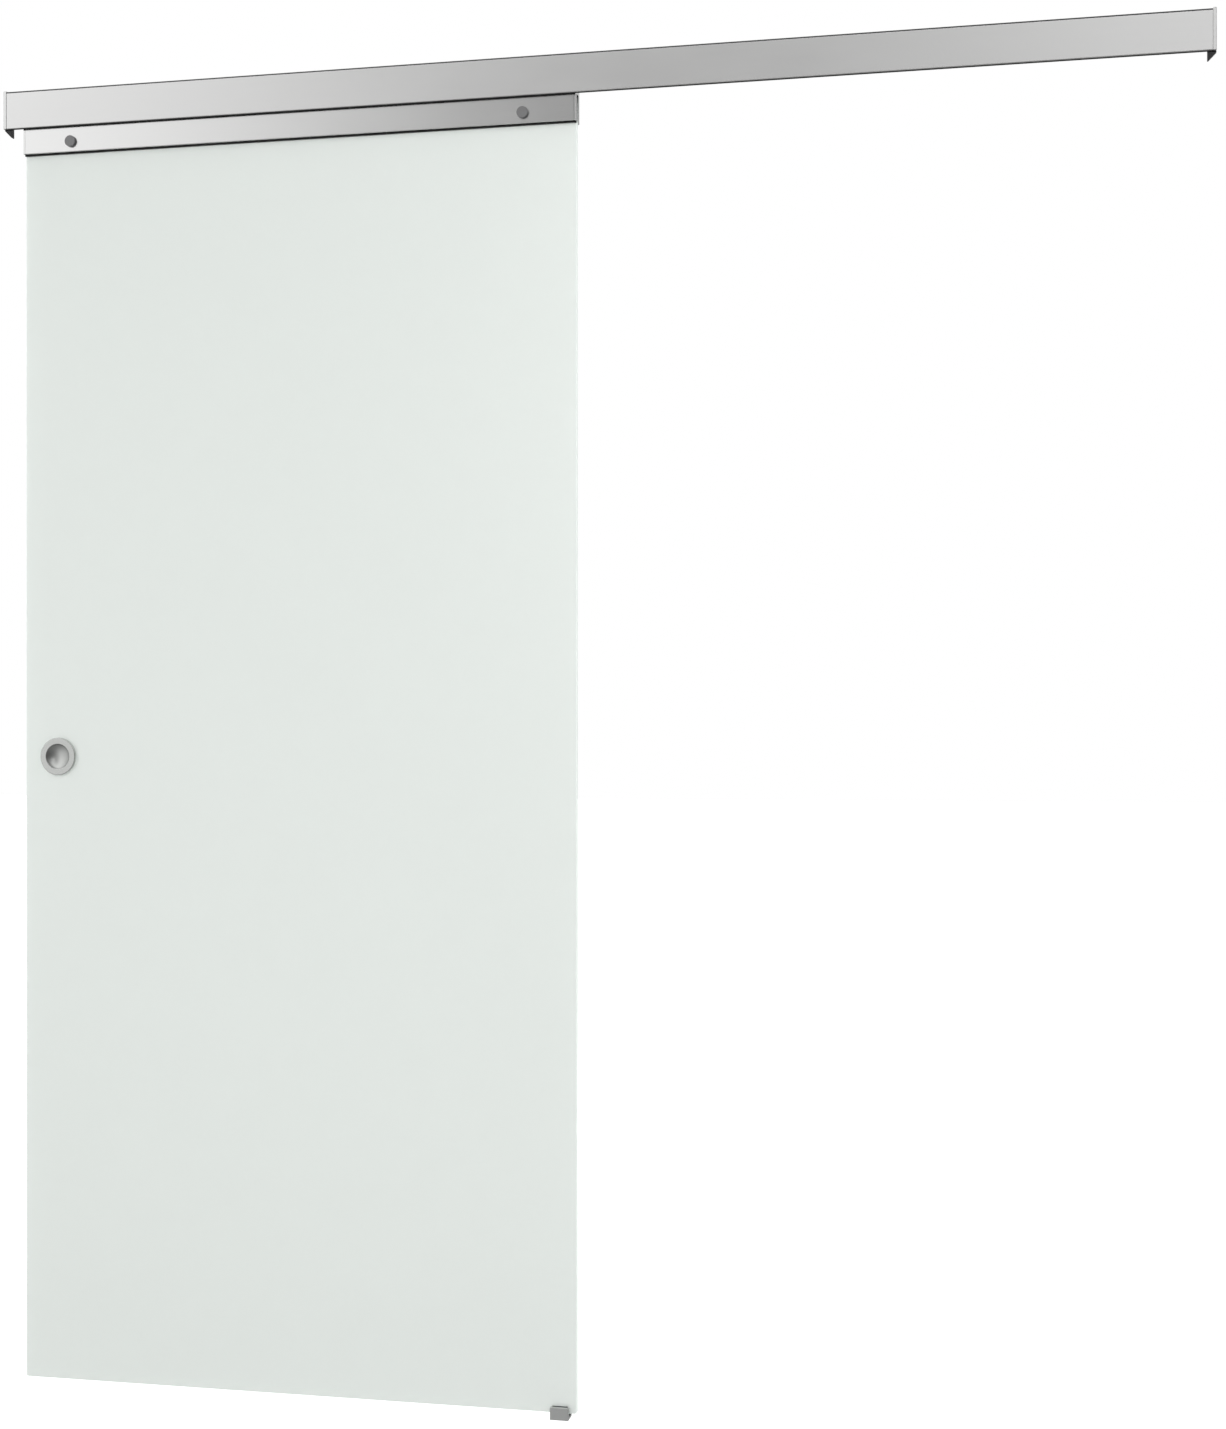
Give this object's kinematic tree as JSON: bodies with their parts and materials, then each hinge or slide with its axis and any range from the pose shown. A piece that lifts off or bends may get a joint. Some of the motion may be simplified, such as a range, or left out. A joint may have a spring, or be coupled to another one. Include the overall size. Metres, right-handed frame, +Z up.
{
  "type": "sliding glass door hardware",
  "caption": "Top-hung sliding glass door set: wall rail with clip-on fascia, trolleys, clamp rail, frosted panel, round flush pull and floor guide.",
  "frame": {"origin": "middle of the rail's wall face, halfway along the rail and halfway up its back", "axes": "+X along the rail in the opening direction, +Y into the wall, +Z up; the room is on the -Y side"},
  "size_m": [1.9106, 0.0936, 2.1375],
  "materials": {
    "satin_aluminium": "fine satin, clear anodised",
    "rail_aluminium": "clear anodised, plain mill direction",
    "dark_plastic": "fine-grained matte moulding",
    "black_rubber": "matte extruded seal",
    "zinc_steel": "bright zinc plating",
    "bearing_steel": "ground and polished",
    "wheel_nylon": "natural nylon, turned",
    "frosted_glass": "etched on one face, polished edges",
    "pull_steel": "satin stainless, turned",
    "cap_grey": "smooth matte grey",
    "guide_metal": "satin anodised grey",
    "guide_nylon": "smooth nylon"
  },
  "bodies": {
    "rail_set": {"track_rail": "rail_aluminium", "fascia_cover": "satin_aluminium", "wall_screw_1": "zinc_steel", "wall_screw_2": "zinc_steel", "wall_screw_3": "zinc_steel", "wall_screw_4": "zinc_steel", "wall_screw_5": "zinc_steel", "guide_screw_1": "zinc_steel", "guide_screw_2": "zinc_steel", "end_cap_left": "satin_aluminium", "end_wedge_left": "dark_plastic", "stop_body_left": "dark_plastic", "stop_buffer_left": "black_rubber", "stop_screw_left": "zinc_steel", "end_cap_right": "satin_aluminium", "end_wedge_right": "dark_plastic", "stop_body_right": "dark_plastic", "stop_buffer_right": "black_rubber", "stop_screw_right": "zinc_steel", "guide_body": "guide_metal", "guide_liner": "guide_nylon"},
    "door": {"clamp_jaw_front": "satin_aluminium", "clamp_jaw_back": "satin_aluminium", "clamp_gasket_front": "black_rubber", "clamp_gasket_back": "black_rubber", "clamp_end_cap_left": "satin_aluminium", "trolley_body_left": "zinc_steel", "hanger_bolt_left": "zinc_steel", "lock_nut_left": "zinc_steel", "clamp_screw_left": "zinc_steel", "screw_cap_left": "cap_grey", "axle_left_a": "bearing_steel", "axle_left_b": "bearing_steel", "clamp_end_cap_right": "satin_aluminium", "trolley_body_right": "zinc_steel", "hanger_bolt_right": "zinc_steel", "lock_nut_right": "zinc_steel", "clamp_screw_right": "zinc_steel", "screw_cap_right": "cap_grey", "axle_right_a": "bearing_steel", "axle_right_b": "bearing_steel", "glass_panel": "frosted_glass", "pull_cup_front": "pull_steel", "pull_cup_back": "pull_steel"},
    "wheel_left_a_front": {"wheel_tyre_left_a_front": "wheel_nylon", "wheel_bearing_left_a_front": "bearing_steel"},
    "wheel_left_a_back": {"wheel_tyre_left_a_back": "wheel_nylon", "wheel_bearing_left_a_back": "bearing_steel"},
    "wheel_left_b_front": {"wheel_tyre_left_b_front": "wheel_nylon", "wheel_bearing_left_b_front": "bearing_steel"},
    "wheel_left_b_back": {"wheel_tyre_left_b_back": "wheel_nylon", "wheel_bearing_left_b_back": "bearing_steel"},
    "wheel_right_a_front": {"wheel_tyre_right_a_front": "wheel_nylon", "wheel_bearing_right_a_front": "bearing_steel"},
    "wheel_right_a_back": {"wheel_tyre_right_a_back": "wheel_nylon", "wheel_bearing_right_a_back": "bearing_steel"},
    "wheel_right_b_front": {"wheel_tyre_right_b_front": "wheel_nylon", "wheel_bearing_right_b_front": "bearing_steel"},
    "wheel_right_b_back": {"wheel_tyre_right_b_back": "wheel_nylon", "wheel_bearing_right_b_back": "bearing_steel"}
  },
  "joints": [
    {"name": "door_slide", "type": "slide", "parent": "rail_set", "child": "door", "axis": [1, 0, 0], "range_m": [0, 0.88]},
    {"name": "spin_left_a_front", "type": "hinge", "parent": "door", "child": "wheel_left_a_front", "pos_m": [-0.893, -0.0375, -0.005], "axis": [0, 1, 0], "continuous": true},
    {"name": "spin_left_a_back", "type": "hinge", "parent": "door", "child": "wheel_left_a_back", "pos_m": [-0.893, -0.0185, -0.005], "axis": [0, 1, 0], "continuous": true},
    {"name": "spin_left_b_front", "type": "hinge", "parent": "door", "child": "wheel_left_b_front", "pos_m": [-0.837, -0.0375, -0.005], "axis": [0, 1, 0], "continuous": true},
    {"name": "spin_left_b_back", "type": "hinge", "parent": "door", "child": "wheel_left_b_back", "pos_m": [-0.837, -0.0185, -0.005], "axis": [0, 1, 0], "continuous": true},
    {"name": "spin_right_a_front", "type": "hinge", "parent": "door", "child": "wheel_right_a_front", "pos_m": [-0.083, -0.0375, -0.005], "axis": [0, 1, 0], "continuous": true},
    {"name": "spin_right_a_back", "type": "hinge", "parent": "door", "child": "wheel_right_a_back", "pos_m": [-0.083, -0.0185, -0.005], "axis": [0, 1, 0], "continuous": true},
    {"name": "spin_right_b_front", "type": "hinge", "parent": "door", "child": "wheel_right_b_front", "pos_m": [-0.027, -0.0375, -0.005], "axis": [0, 1, 0], "continuous": true},
    {"name": "spin_right_b_back", "type": "hinge", "parent": "door", "child": "wheel_right_b_back", "pos_m": [-0.027, -0.0185, -0.005], "axis": [0, 1, 0], "continuous": true}
  ],
  "couplings": [
    {"joint": "spin_left_a_front", "follows": "door_slide", "rad_per_m": 83.333},
    {"joint": "spin_left_a_back", "follows": "door_slide", "rad_per_m": 83.333},
    {"joint": "spin_left_b_front", "follows": "door_slide", "rad_per_m": 83.333},
    {"joint": "spin_left_b_back", "follows": "door_slide", "rad_per_m": 83.333},
    {"joint": "spin_right_a_front", "follows": "door_slide", "rad_per_m": 83.333},
    {"joint": "spin_right_a_back", "follows": "door_slide", "rad_per_m": 83.333},
    {"joint": "spin_right_b_front", "follows": "door_slide", "rad_per_m": 83.333},
    {"joint": "spin_right_b_back", "follows": "door_slide", "rad_per_m": 83.333}
  ]
}
